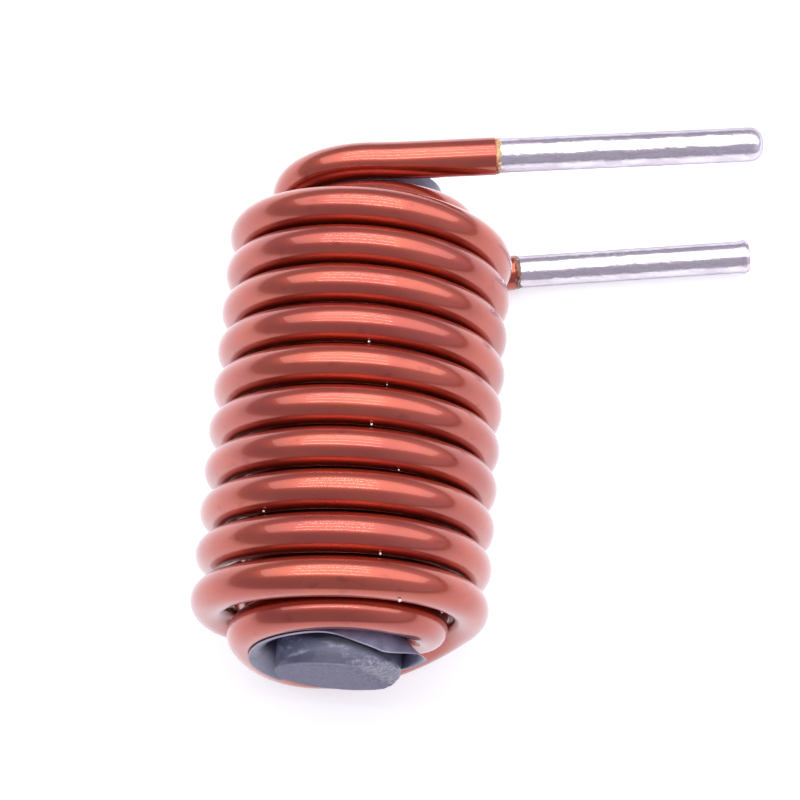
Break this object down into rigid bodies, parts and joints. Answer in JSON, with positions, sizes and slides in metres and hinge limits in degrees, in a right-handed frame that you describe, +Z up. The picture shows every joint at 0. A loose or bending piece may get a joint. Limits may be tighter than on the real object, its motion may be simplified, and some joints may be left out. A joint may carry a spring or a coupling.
{
  "type": "rod core inductor",
  "caption": "Ferrite rod in an insulating sleeve, wound with two layers of thick enamelled copper wire whose tinned ends leave side by side.",
  "frame": {"origin": "middle of the whole part's outline seen from above, on the surface that it lies on", "axes": "+X the way both leads point, +Y along the rod from the end where the rod stands out to the end with the leads, +Z up"},
  "size_m": [0.0222, 0.023, 0.0117],
  "materials": {
    "ferrite": "sintered ferrite, dull grey on the ends and darker and smoother along the side",
    "sleeve": "thin blue-grey insulating film, satin",
    "enamelled_copper": "clear red-brown enamel over copper, glossy",
    "tin": "bright hot-dipped tin, slightly streaky"
  },
  "bodies": {
    "root": {"ferrite_rod": "ferrite", "core_sleeve": "sleeve", "winding_wire": "enamelled_copper"}
  },
  "joints": []
}
